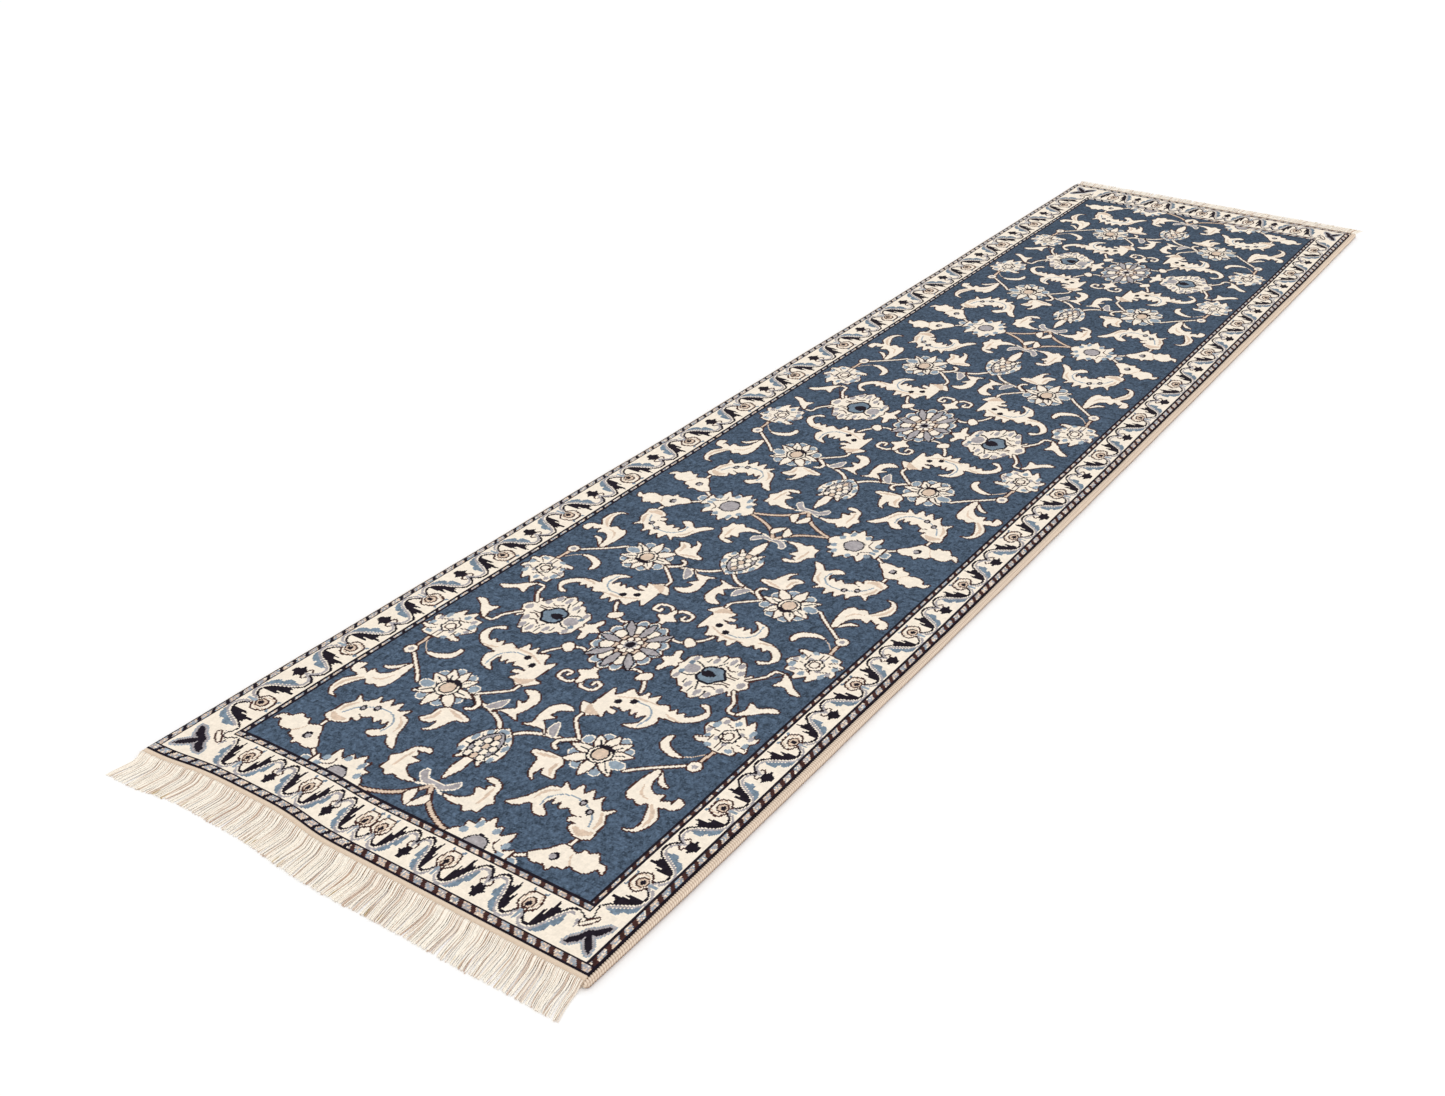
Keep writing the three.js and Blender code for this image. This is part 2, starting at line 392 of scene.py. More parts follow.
def paint_great_leaf(c):
    c.shape([
        (63, 181), (67, 172), (75, 187), (92, 182), (101, 170), (94, 165), (101, 158), (93, 152),
        (102, 146), (91, 138), (97, 121), (79, 115), (91, 105), (80, 98), (93, 91), (85, 74), (98, 70),
        (108, 62), (96, 52), (126, 51), (142, 51), (145, 38), (167, 57), (157, 72), (156, 81), (143, 76),
        (145, 88), (137, 87), (134, 73), (128, 87), (132, 96), (123, 102), (133, 109), (123, 113),
        (134, 119), (122, 127), (142, 129), (156, 115), (151, 137), (130, 148), (118, 143), (114, 170),
        (99, 190), (81, 195),
    ])
    c.leaf([(143, 50), (155, 60), (156, 74)], [4, 15, 4], TAN)
    c.stroke([(112, 172), (112, 158), (108, 148)], [2, 5, 2], TAN)
    c.stroke([(98, 128), (97, 108), (99, 92), (110, 68)], [2, 4, 4, 2], TAN)
    c.stroke([(104, 98), (107, 120), (124, 134), (149, 132)], 2.4, LIGHT_BLUE)
    c.ovals(DARK, (107, 94, 6, 5.2), (118, 76, 6, 5.2))
    c.stroke([(166, 56), (179, 57), (192, 69), (211, 90)], STEM, CREAM, BROWN)


def paint_stem_bud(c):
    c.stroke([(85, 87), (72, 81), (61, 73)], STEM, CREAM, BROWN)
    c.stroke([(49, 62), (45, 48), (49, 37)], STEM, CREAM, BROWN)
    c.shape([(64, 65), (54, 77), (42, 71), (49, 60), (61, 58)])


def paint_near_leaf(c):
    c.stroke([(386, 211), (362, 213)], STEM, CREAM, BROWN)
    c.shape([
        (363, 215), (357, 225), (342, 222), (328, 221), (314, 213), (300, 217), (309, 204), (297, 193),
        (287, 190), (299, 182), (283, 172), (296, 165), (282, 155), (299, 149), (289, 134), (301, 136),
        (308, 122), (338, 111), (360, 96), (357, 111), (344, 123), (358, 139), (352, 152), (338, 137),
        (321, 142), (331, 146), (323, 153), (333, 158), (326, 167), (333, 178), (331, 192), (337, 180),
        (345, 181), (343, 192), (354, 189), (363, 206),
    ])
    c.leaf([(350, 194), (355, 207), (348, 221)], [4, 13, 5], TAN)
    c.stroke([(340, 216), (328, 215), (313, 207)], [3, 6, 3], TAN)
    c.stroke([(334, 120), (318, 124), (306, 136)], [2, 5, 2], TAN)
    c.stroke([(341, 209), (322, 199), (308, 175), (308, 149), (324, 134), (342, 135)], 2.4, LIGHT_BLUE)
    for spot in ((319, 193), (309, 176)):
        c.ovals(DARK, (*spot, 6.5, 5.2))
        c.ovals(GREY, (*spot, 3.4, 2.6))


def paint_double_bud(c):
    c.stroke([(418, 183), (429, 167)], STEM, CREAM, BROWN)
    c.shape([
        (399, 276), (386, 271), (385, 260), (373, 251), (379, 241), (376, 234), (386, 228), (380, 208),
        (398, 195), (414, 181), (423, 193), (420, 209), (425, 216), (417, 220), (414, 232), (406, 235),
        (409, 250), (404, 261), (394, 266),
    ])
    c.stroke([(406, 235), (398, 229), (389, 225)], 2, TAN)
    c.ovals(DARK, (403, 210, 7.5, 6.5))
    c.ovals(GREY, (404, 208, 4.5, 4))


def paint_end_palmette(c):
    c.ovals(LIGHT_BLUE, (438, 173, 5, 7), edge=CREAM)
    c.shape([
        (452, 160), (436, 166), (423, 165), (430, 156), (425, 147), (412, 150), (399, 147), (409, 139),
        (412, 132), (399, 127), (404, 119), (391, 109), (403, 104), (399, 95), (411, 95), (413, 85),
        (424, 88), (431, 78), (452, 80),
    ])
    c.ovals(LIGHT_BLUE, (422, 152, 6, 5), (408, 126, 6, 5), (409, 100, 8, 4), (426, 90, 6, 5),
            (436, 155, 4, 6))
    c.stroke([(428, 132), (424, 124), (422, 113)], 2.2, DARK)
    c.stroke([(436, 150), (428, 138), (416, 138)], 2, BROWN)
    c.fill([(452, 132), (430, 130), (425, 117), (432, 106), (452, 104)], GREY, DARK, edge_width=2.2)


FIELD_MOTIFS = [
    paint_fork, paint_stem_bud, paint_rosette, paint_star_bud, paint_side_palmette, paint_bracket_stem,
    paint_side_stem, paint_side_flower, paint_bird_leaf, paint_centre_stem, paint_hook, paint_great_leaf,
    paint_mid_flower, paint_lily, paint_artichoke, paint_end_stem, paint_near_leaf, paint_double_bud,
    paint_end_palmette,
]


# -- Motif of the main border: one half repeat. u runs from a palmette to the next blossom, v outwards.

BORDER_HALF_REPEAT = 84
BORDER_WIDTH = 49


def paint_border_blossom(c):
    c.shape([(74, 22), (80, 18), (84, 17), (92, 20), (92, 25), (80, 25)])
    c.fill([(70, 33), (75, 31), (78, 26), (84, 26), (92, 26), (92, 42), (80, 43), (77, 38)], DARK)


def paint_border_wave(c):
    c.fill([(33, 47), (43, 38), (53, 21), (59, 14), (62, 25), (60, 31), (53, 33), (54, 39), (45, 46)],
           MID_BLUE)
    c.fill([(26, 42), (25, 32), (28, 17), (32, 26), (34, 12), (37, 3), (41, 12), (45, 11), (46, 19),
            (40, 33), (32, 42)], DARK)
    c.stroke([(6, 40), (12, 45), (22, 48), (34, 45), (43, 34), (50, 21), (59, 11), (68, 9), (77, 13),
              (85, 25)], 3.4, GREY)
    c.stroke([(7, 32), (12, 39), (22, 43), (32, 39), (40, 28), (48, 15), (57, 6), (67, 4), (77, 8),
              (85, 18)], 3.3, DARK)


def paint_border_palmette(c):
    c.stroke([(13, 4), (7, 8)], 4, MID_BLUE)
    c.flower((0, 19), (17, 12), 5, 0.12, CREAM, BROWN, turn=np.pi / 2, edge_width=3)
    c.stroke([(0, 30), (8, 38)], 3, GREY)
    c.stroke([(0, 31), (0, 42)], 3.5, LIGHT_BLUE)
    c.stroke([(9, 9), (13, 17), (10, 25)], 2, TAN)
    c.ovals(TAN, (0, 21, 7.5, 6.5), edge=BROWN)
    c.ovals(DARK, (0, 22, 4.5, 4.2))


# -- Corner of the main border, from its inner corner (0, 0) to its outer one.

CORNER_SIZE = 60


def paint_corner(c):
    c.fill([(-14, -14), (14, -14), (12, 4), (4, 12), (-14, 14)], CREAM)
    arms = [[(26, 24), (37, 21), (45, 12), (50, 7)], [(25, 25), (36, 36), (45, 44), (52, 51)],
            [(24, 26), (21, 37), (12, 45), (7, 50)]]
    for wider, yarn in ((9, LIGHT_BLUE), (6, GREY), (0, DARK)):
        for arm in arms:
            c.stroke(arm, [6 + wider, 11 + wider, 9 + wider, 2 + wider], yarn)
    for turned in (1, -1):
        scroll = [(-14, 4), (-4, 7), (3, 11), (12, 8)][::turned]
        c.stroke([(u, v) if turned > 0 else (v, u) for u, v in scroll], 2.6, DARK)
    c.stroke([(20, 5), (13, 13), (5, 20)], [4, 6, 4], CREAM, BROWN)


# -- The whole rug

GUARD_REPEAT = {"left": 23, "right": 23, "near": 18.7, "far": 19.5}
GUARD_LEAN = {"left": 0.9, "right": 0.9, "near": 0.6, "far": 0.6}
GUARD_BAR = 0.38  # share of the repeat that is bar
WORN_BAR = 0.3  # the same on the left half of the rug, where the bars are nearly black
GUARD_START = 200  # mm, how far back from the start of a side its bars are counted
GUARD_LINES = (1.8, 1.2)  # width of the dark lines beside the bars in knots, on the sides and on the ends
FLECKS = ((0.3, TAN), (0.5, LIGHT_BLUE), (0.6, CREAM))  # share of the knots of a guard's blocks, cumulative

# Where the rosettes and the ends of the cells come, as measured from the near edge of the field: the
# weaver's repeats grow a little towards the far end.
FIELD_LENGTH = 2780
CELL_STATIONS = [0, 445, 866, 1323, 1820, 2310, FIELD_LENGTH]
NEAR_STRAY = 7.5  # mm, how far the middle of the design is off the field's middle at the near end
NEAR_STRAY_REACH = 330
HAND_DRIFT = 0.9  # mm, how far a motif strays from one repeat to the next

# The border's palmettes by their number along a side, with their places in mm from the near corner
SIDE_PALMETTES = (-1, 0, 5, 8, 15, 16)
SIDE_PLACES = (-90, 70, 870, 1403, 2721, 2916)
NEAR_PALMETTES = (-0.5, 0, 1, 2, 2.11, 2, 1, 0, -0.5)  # counted from each end to the middle
NEAR_PLACES = (-1, 54, 163, 268, 281, 294, 398, 522, 588)
FAR_REPEATS = 5
BARE_CORNER = 30  # mm, how close to a corner there is no blossom


def paint_field(x, y):
    """Yarns of knots in the field; x and y are millimetres from its left and near edges."""
    width, length = (FIELD[1] - FIELD[0]) / MM, (FIELD[3] - FIELD[2]) / MM
    stations = np.array(CELL_STATIONS) * length / FIELD_LENGTH
    into_cell = np.resize([CELL_HALF_LENGTH, 0], len(stations))
    u = np.interp(y, stations, into_cell)
    middle = width / 2 - NEAR_STRAY * np.exp(-((y / NEAR_STRAY_REACH) ** 4))
    v = np.abs(x - middle) * FIELD_HALF_WIDTH * 2 / width
    hand = np.sin(y / 61) + np.sin(x / 47 + y / 90)
    sway = np.sin(x / 53 + 1) + np.cos(y / 71 - x / 110)
    cartoon = Cartoon(u + HAND_DRIFT * hand, v + HAND_DRIFT * sway, NAVY)
    for motif in FIELD_MOTIFS:
        motif(cartoon)
    return cartoon.yarn


def strip_places(x, y, inner, outer, side):
    """Places in a border strip in mm: s along it, t out from its inner edge; and its width and length."""
    left, right, near, far = (value / MM for value in inner)
    if side == "left":
        return y - near, left - x, left - outer[0] / MM, far - near
    if side == "right":
        return y - near, x - right, outer[1] / MM - right, far - near
    if side == "near":
        return x - left, near - y, near - outer[2] / MM, right - left
    return x - left, y - far, outer[3] / MM - far, right - left


def side_masks(x, y, inner):
    """Which knots belong to each side of a stripe; the ends take the corners."""
    left, right, near, far = (value / MM for value in inner)
    middle = (y >= near) & (y <= far)
    return {"left": middle & (x < left), "right": middle & (x > right), "near": y < near, "far": y > far}


def paint_guard(x, y, inner, outer):
    """Slanted bars between two dark lines; on the ends they lean towards the middle from both halves."""
    random = np.random.default_rng(SEED)
    fleck = random.random(x.shape)
    yarn = np.select([fleck < share for share, _ in FLECKS], [colour for _, colour in FLECKS], GREY)
    left, right = inner[0] / MM, inner[1] / MM
    for side, mask in side_masks(x, y, inner).items():
        s, t, width, length = strip_places(x[mask], y[mask], inner, outer, side)
        on_end = side in ("near", "far")
        line_width = GUARD_LINES[1] * KNOT_LENGTH if on_end else GUARD_LINES[0] * KNOT_WIDTH
        rim_width = KNOT_WIDTH if side == "right" and outer is PILE else line_width
        along = np.minimum(s, length - s) if on_end else s
        lean = -GUARD_LEAN[side] if side == "left" else GUARD_LEAN[side]
        phase = (along + lean * t + GUARD_START) / GUARD_REPEAT[side] % 1
        worn = x[mask] < (left + right) / 2
        painted = yarn[mask]
        painted[phase < np.where(worn, WORN_BAR, GUARD_BAR)] = BROWN
        painted[(phase < WORN_BAR) & worn] = DARK
        line = (t < line_width) | (t > width - rim_width)
        if on_end:
            line |= (s < line_width - width) | (s > length + width - line_width)
        painted[line] = DARK
        yarn[mask] = painted
    return yarn


def palmette_phase(s, length, side):
    """How many repeats a place s mm along a border side is from its first palmette."""
    if side == "near":
        return np.interp(s, NEAR_PLACES, NEAR_PALMETTES)
    if side == "far":
        return s / length * FAR_REPEATS - 0.5
    return np.interp(s, SIDE_PLACES, SIDE_PALMETTES)


def paint_main_border(x, y, inner, outer):
    yarn = np.full(x.shape, CREAM, np.uint8)
    left, right, near, far = (value / MM for value in inner)
    for side, mask in side_masks(x, y, inner).items():
        s, t, width, length = strip_places(x[mask], y[mask], inner, outer, side)
        phase = palmette_phase(s, length, side)
        into = np.abs(phase - np.round(phase)) * 2 * BORDER_HALF_REPEAT
        cartoon = Cartoon(into, t / width * BORDER_WIDTH, CREAM)
        paint_border_blossom(cartoon)
        cartoon.yarn[np.minimum(s, length - s) < BARE_CORNER] = CREAM
        paint_border_wave(cartoon)
        paint_border_palmette(cartoon)
        yarn[mask] = cartoon.yarn
    beyond_x = np.maximum(left - x, x - right)
    beyond_y = np.maximum(near - y, y - far)
    wide = np.where(x < left, left - outer[0] / MM, outer[1] / MM - right)
    deep = np.where(y < near, near - outer[2] / MM, outer[3] / MM - far)
    yarn[(beyond_x > 0) & (beyond_y > 0)] = CREAM
    reach = CORNER_SIZE / 4
    close = (beyond_x > -reach) & (beyond_y > -reach) & ((beyond_x > 0) | (beyond_y > 0))
    cartoon = Cartoon(beyond_x[close] / wide[close] * CORNER_SIZE,
                      beyond_y[close] / deep[close] * CORNER_SIZE, CREAM)
    cartoon.yarn = yarn[close]
    paint_corner(cartoon)
    yarn[close] = cartoon.yarn
    return yarn


def within(x, y, box):
    return (x > box[0] / MM) & (x < box[1] / MM) & (y > box[2] / MM) & (y < box[3] / MM)


def paint_rug():
    """The yarn and the zone of every knot, as arrays of rows by columns, and the lines between the knots."""
    columns = round(WIDTH / MM / KNOT_WIDTH)
    rows = round(LENGTH / MM / KNOT_LENGTH)
    across = np.linspace(PILE[0], PILE[1], columns + 1) / MM
    along = np.linspace(PILE[2], PILE[3], rows + 1) / MM
    x, y = np.meshgrid((across[1:] + across[:-1]) / 2, (along[1:] + along[:-1]) / 2)
    yarn = np.zeros(x.shape, np.uint8)
    zone = np.full(x.shape, "outer_guard", "<U12")
    zone[within(x, y, INSIDE_OUTER_GUARD)] = "main_border"
    zone[within(x, y, INSIDE_MAIN_BORDER)] = "inner_guard"
    zone[within(x, y, FIELD)] = "field"
    at = zone == "field"
    yarn[at] = paint_field(x[at] - FIELD[0] / MM, y[at] - FIELD[2] / MM)
    at = zone == "inner_guard"
    yarn[at] = paint_guard(x[at], y[at], FIELD, INSIDE_MAIN_BORDER)
    at = zone == "main_border"
    yarn[at] = paint_main_border(x[at], y[at], INSIDE_MAIN_BORDER, INSIDE_OUTER_GUARD)
    at = zone == "outer_guard"
    yarn[at] = paint_guard(x[at], y[at], INSIDE_OUTER_GUARD, PILE)
    return yarn, zone, across * MM, along * MM




# ---------------------------------------------------------------- how the rug lies


def lie(points):
    """Moves flat points, in metres, to where they lie: the rug has a bow, uneven ends and low ripples."""
    x, y, z = np.array(points, float).T
    along = np.clip((y - PILE[2]) / LENGTH, 0, 1)
    arch = np.sin(np.pi * along)
    bowed = x * (1 - NARROWING * arch) + BOW * (arch**0.9 - BOW_START)
    drawn = DRAWN_IN * np.exp(-(np.abs((x - DRAWN_IN_PLACE) / DRAWN_IN_REACH) ** 4)) - NEAR_SET_BACK
    pushed = NEAR_SET_BACK - FAR_SKEW * x / PILE[1]
    by_near = np.clip(1 - (y - PILE[2]) / END_REACH, 0, 1) ** 2
    by_far = np.clip(1 - (PILE[3] - y) / END_REACH, 0, 1) ** 2
    waved = y + drawn * np.minimum(by_near, 1) + pushed * np.minimum(by_far, 1)
    ripple = np.sin(y * 9.1 + x * 4) * np.sin(x * 7.3 - y * 2.1 + 0.6) + np.sin(y * 17 - x * 9 + 2) * 0.4
    lifted = z + RIPPLE * (1.4 + ripple) * np.clip(z / GROUND_TOP, 0, 1)
    return np.column_stack([bowed, waved, lifted])


# ---------------------------------------------------------------- making pieces


def add_piece(name, points, faces, material, slot, nodes):
    """A mesh piece from points and faces of one corner count, laid with the rug."""
    points = lie(points)
    faces = np.asarray(faces, np.int32)
    corners = faces.shape[1]
    mesh = bpy.data.meshes.new(name)
    mesh.vertices.add(len(points))
    mesh.vertices.foreach_set("co", points.astype(np.float32).ravel())
    mesh.loops.add(faces.size)
    mesh.loops.foreach_set("vertex_index", faces.ravel())
    mesh.polygons.add(len(faces))
    mesh.polygons.foreach_set("loop_start", np.arange(0, faces.size, corners, dtype=np.int32))
    mesh.update(calc_edges=True)
    mesh.validate()
    mesh.polygons.foreach_set("use_smooth", np.full(len(mesh.polygons), True))
    mesh.materials.append(material)
    piece = bpy.data.objects.new(name, mesh)
    bpy.context.scene.collection.objects.link(piece)
    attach(piece, BODY)
    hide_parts(*nodes)
    return piece


def grid_faces(rows, columns, wrap=False):
    """Quads of a grid of points stored row by row; wrap joins the last column to the first."""
    across = np.arange(columns if wrap else columns - 1)
    row, column = np.meshgrid(np.arange(rows - 1), across, indexing="ij")
    following = (column + 1) % columns
    corners = [row * columns + column, row * columns + following, (row + 1) * columns + following,
               (row + 1) * columns + column]
    return np.stack([corner.ravel() for corner in corners], 1)


def tube(path, section):
    """Points and quads of a tube with its ends drawn shut; section has the offsets (rings, corners, 3)."""
    rings = path[:, None, :] + section
    rings = np.concatenate([np.repeat(path[:1, None], rings.shape[1], 1), rings,
                            np.repeat(path[-1:, None], rings.shape[1], 1)])
    return rings.reshape(-1, 3), grid_faces(len(rings), rings.shape[1], wrap=True)


def slab(upper, lower, rows, columns, mirrored=False):
    """Points and quads of a closed slab between two grids; mirrored where the grid runs backwards."""
    faces = grid_faces(rows, columns)
    index = np.arange(rows * columns).reshape(rows, columns)
    rim = np.concatenate([index[0], index[1:, -1], index[-1, -2::-1], index[-2:0:-1, 0]])
    onward = np.roll(rim, -1)
    under = len(upper)
    walls = np.stack([rim + under, onward + under, onward, rim], 1)
    if mirrored:
        faces, walls = faces[:, ::-1], walls[:, ::-1]
    return np.vstack([upper, lower]), np.vstack([faces, faces[:, ::-1] + under, walls])


# ---------------------------------------------------------------- materials


def new_material(name, colour, roughness, sheen):
    """A principled material with its node tree and shader."""
    material = bpy.data.materials.new(name)
    material.use_nodes = True
    tree = material.node_tree
    shader = tree.nodes["Principled BSDF"]
    shader.inputs["Base Color"].default_value = (*colour, 1)
    shader.inputs["Roughness"].default_value = roughness
    shader.inputs["Specular IOR Level"].default_value = 0.25
    shader.inputs["Sheen Weight"].default_value = sheen
    shader.inputs["Sheen Roughness"].default_value = 0.45
    return material, tree, shader


def node(tree, kind, inputs=(), **settings):
    """A shader node with settings and with inputs given as {socket: value or output}."""
    made = tree.nodes.new(kind)
    for key, value in settings.items():
        setattr(made, key, value)
    for key, value in dict(inputs).items():
        if isinstance(value, bpy.types.NodeSocket):
            tree.links.new(value, made.inputs[key])
        else:
            made.inputs[key].default_value = value
    return made


def math_node(tree, operation, *values):
    return node(tree, "ShaderNodeMath", dict(enumerate(values)), operation=operation).outputs[0]


def tinted(tree, colour, factor, spread):
    """The colour, made lighter and darker by spread as factor goes from 1 to 0."""
    light = [min(1, channel * (1 + spread)) for channel in colour]
    dark = [channel * (1 - spread) for channel in colour]
    return mixed(tree, factor, dark, light)


def multiplied(tree, first, second):
    mix = node(tree, "ShaderNodeMix", {"Factor": 1.0}, data_type="RGBA", blend_type="MULTIPLY")
    tree.links.new(first, mix.inputs[6])
    tree.links.new(second, mix.inputs[7])
    return mix.outputs[2]


def roughened(tree, shader, height, strength=0.4, depth=0.0004):
    bump = node(tree, "ShaderNodeBump", {"Height": height, "Strength": strength, "Distance": depth})
    tree.links.new(bump.outputs[0], shader.inputs["Normal"])


def mixed(tree, factor, first, second):
    """A mix of two colours, each a fixed one or another node's output, from the first to the second."""
    mix = node(tree, "ShaderNodeMix", {"Factor": factor}, data_type="RGBA")
    for socket, value in ((mix.inputs[6], first), (mix.inputs[7], second)):
        if isinstance(value, bpy.types.NodeSocket):
            tree.links.new(value, socket)
        else:
            socket.default_value = (*value, 1)
    return mix.outputs[2]


def noise(tree, place, scale, detail):
    inputs = {"Vector": place, "Scale": scale, "Detail": detail}
    return node(tree, "ShaderNodeTexNoise", inputs).outputs["Fac"]


def ranged(tree, value, given, wanted=(0.0, 1.0)):
    """The value moved from the range given to the one wanted, and kept within it."""
    limits = zip(("From Min", "From Max", "To Min", "To Max"), (*given, *wanted))
    return node(tree, "ShaderNodeMapRange", {"Value": value, **dict(limits)}).outputs[0]


def linear(*colour):
    """Scene-linear colour of an sRGB one given from 0 to 255."""
    shares = [channel / 255 for channel in colour]
    return tuple(c / 12.92 if c <= 0.04045 else ((c + 0.055) / 1.055) ** 2.4 for c in shares)


def attribute_value(tree, name):
    return node(tree, "ShaderNodeAttribute", attribute_name=name).outputs["Fac"]


def wool_pile(name, colour, knot_spread, far_shade):
    """Cut wool with a shade for each knot, bands of dye and wear; far_shade is its shade at the far end."""
    material, tree, shader = new_material(name, colour, 1.0, 0.03)
    shader.inputs["Specular IOR Level"].default_value = 0.04
    place = node(tree, "ShaderNodeTexCoord").outputs["Object"]
    each_knot = attribute_value(tree, "knot_shade")
    bands = node(tree, "ShaderNodeMapping", {"Vector": place, "Scale": (1.2, 26.0, 1.0)}).outputs[0]
    dye = noise(tree, bands, 1.0, 3.0)
    wear = ranged(tree, noise(tree, place, 190.0, 5.0), (0.32, 0.68))
    knots = tinted(tree, colour, each_knot, knot_spread)
    dyed = tinted(tree, (1, 1, 1), dye, 0.25 * knot_spread)
    worn = tinted(tree, (1, 1, 1), wear, 0.7 * knot_spread)
    along = node(tree, "ShaderNodeSeparateXYZ", {0: place}).outputs[1]
    # darker towards the far end, down to far_shade of the near end's brightness
    far_end_factor = ranged(tree, along, PILE[2:], (1.0, far_shade))
    shade = multiplied(tree, multiplied(tree, knots, dyed), multiplied(tree, worn, far_end_factor))
    tree.links.new(shade, shader.inputs["Base Color"])

    fibres = noise(tree, place, 1600.0, 2.0)
    tufts = node(tree, "ShaderNodeTexVoronoi", {"Vector": place, "Scale": 480.0}).outputs["Distance"]
    relief = math_node(tree, "ADD", tufts, math_node(tree, "ADD", fibres, each_knot))
    roughened(tree, shader, relief, strength=0.55, depth=0.0005)
    return material


YARN_GRAIN = 420.0  # lumps per metre
PAINTED_SHADE_HEIGHTS = (0.0022, 0.0062)  # where the overcast edge's painted shade by the floor begins to fade, and where it ends


def yarn_material(name, colour, spread):
    """Spun yarn: soft mottling with fine fibres."""
    material, tree, shader = new_material(name, colour, 0.9, 0.2)
    place = node(tree, "ShaderNodeTexCoord").outputs["Object"]
    mottle = noise(tree, place, YARN_GRAIN, 4.0)
    broad = noise(tree, place, 14.0, 3.0)
    fine = tinted(tree, colour, mottle, spread)
    shade = multiplied(tree, fine, tinted(tree, (1, 1, 1), broad, spread * 0.6))
    tree.links.new(shade, shader.inputs["Base Color"])
    fibres = noise(tree, place, YARN_GRAIN * 3, 3.0)
    roughened(tree, shader, fibres)
    return material


def overcast_material(name, colour, shade):
    """The overcast edge: spun wool, with shade painted between its turns, in its grooves and low by the
    floor.
    """
    material, tree, shader = new_material(name, colour, 0.9, 0.1)
    place = node(tree, "ShaderNodeTexCoord").outputs["Object"]
    mottle = noise(tree, place, YARN_GRAIN, 4.0)
    broad = noise(tree, place, 14.0, 3.0)
    wool = multiplied(tree, tinted(tree, colour, mottle, 0.14), tinted(tree, (1, 1, 1), broad, 0.08))
    height = node(tree, "ShaderNodeSeparateXYZ", {0: place}).outputs[2]
    # painted shade low on the edge, where it meets the floor
    low = ranged(tree, height, PAINTED_SHADE_HEIGHTS, (0.95, 0.0))
    # painted shade in the grooves and between the turns, read from the groove attribute
    painted_shade_share = math_node(tree, "MAXIMUM", low, attribute_value(tree, "groove"))
    tree.links.new(mixed(tree, painted_shade_share, wool, shade), shader.inputs["Base Color"])
    roughened(tree, shader, mottle)
    return material


def fringe_material(name, colour, low_strand_shade, stain):
    """Loose warp ends: cotton, with painted shade on the strands that lie lowest, and some stained tips."""
    material, tree, shader = new_material(name, colour, 0.9, 0.1)
    place = node(tree, "ShaderNodeTexCoord").outputs["Object"]
    scaled = node(tree, "ShaderNodeMapping", {"Vector": place, "Scale": (1, 0.25, 1)}).outputs[0]
    mottle = noise(tree, scaled, YARN_GRAIN, 4.0)
    # painted shade: the strands that lie lowest, under the others, are mixed towards a darker colour
    height = ranged(tree, attribute_value(tree, "layer"), (0.0, 0.4))
    shaded_low_strands = mixed(tree, height, low_strand_shade, tinted(tree, colour, mottle, 0.06))
    tree.links.new(mixed(tree, attribute_value(tree, "stain"), shaded_low_strands, stain), shader.inputs["Base Color"])
    roughened(tree, shader, mottle)
    return material


# Every yarn in the order of its number: name, sRGB colour, spread of its knots' shades, and how bright
# it is at the far end, as a share of what it is at the near one
YARNS = (
    ("navy", (85, 103, 124), 0.6, 0.74),
    ("cream", (245, 233, 216), 0.08, 1),
    ("tan", (222, 198, 176), 0.15, 1),
    ("light_blue", (152, 167, 180), 0.25, 1),
    ("grey", (174, 168, 170), 0.25, 1),
    ("dark", (34, 28, 38), 0.4, 1),
    ("brown", (76, 48, 44), 0.4, 1),
    ("mid_blue", (124, 142, 158), 0.3, 0.85),
)
SELVEDGE_COLOUR = linear(236, 217, 196)
# colour of the painted shade on the overcast edge, low by the floor and in its grooves
SELVEDGE_PAINTED_SHADE = linear(138, 106, 84)
COTTON_COLOUR = linear(222, 202, 180)
FRINGE_COLOUR = linear(255, 244, 231)
TIP_COLOUR = linear(196, 172, 128)
# painted shade of the lowest fringe strands, which lie under the others
LOW_STRAND_SHADE_COLOUR = linear(200, 170, 148)


# ---------------------------------------------------------------- the pile


def pile_points(across, along):
    """Corners of all knots: level, a little uneven, and rounded down to the wall round the rug's edge."""
    x, y = np.meshgrid(np.pad(across, 1, mode="edge"), np.pad(along, 1, mode="edge"))
    uneven = np.random.default_rng(SEED).uniform(-KNOT_JITTER, KNOT_JITTER, x.shape)
    from_edge = np.minimum.reduce([x - PILE[0], PILE[1] - x, y - PILE[2], PILE[3] - y])
    z = PILE_TOP + uneven - EDGE_ROUNDING * np.exp(-np.maximum(from_edge, 0) / EDGE_SPREAD)
    z[0] = z[-1] = GROUND_TOP
    z[:, 0] = z[:, -1] = GROUND_TOP
    return np.column_stack([x.ravel(), y.ravel(), z.ravel()])


def knot_shades(rows, columns):
    """A shade from 0 to 1 for every knot: partly its own, partly its patch's and partly its row's."""
    random = np.random.default_rng(SEED + 1)
    own = random.random((rows, columns))
    patch = np.kron(random.random((rows // 3 + 1, columns // 3 + 1)), np.ones((3, 3)))[:rows, :columns]
    row = random.random((rows, 1))
    return np.clip(0.5 + 1.1 * (0.45 * own + 0.4 * patch + 0.15 * row - 0.5), 0, 1)


def set_attribute(piece, name, domain, values):
    attribute = piece.data.attributes.new(name, "FLOAT", domain)
    attribute.data.foreach_set("value", np.asarray(values, np.float32).ravel())


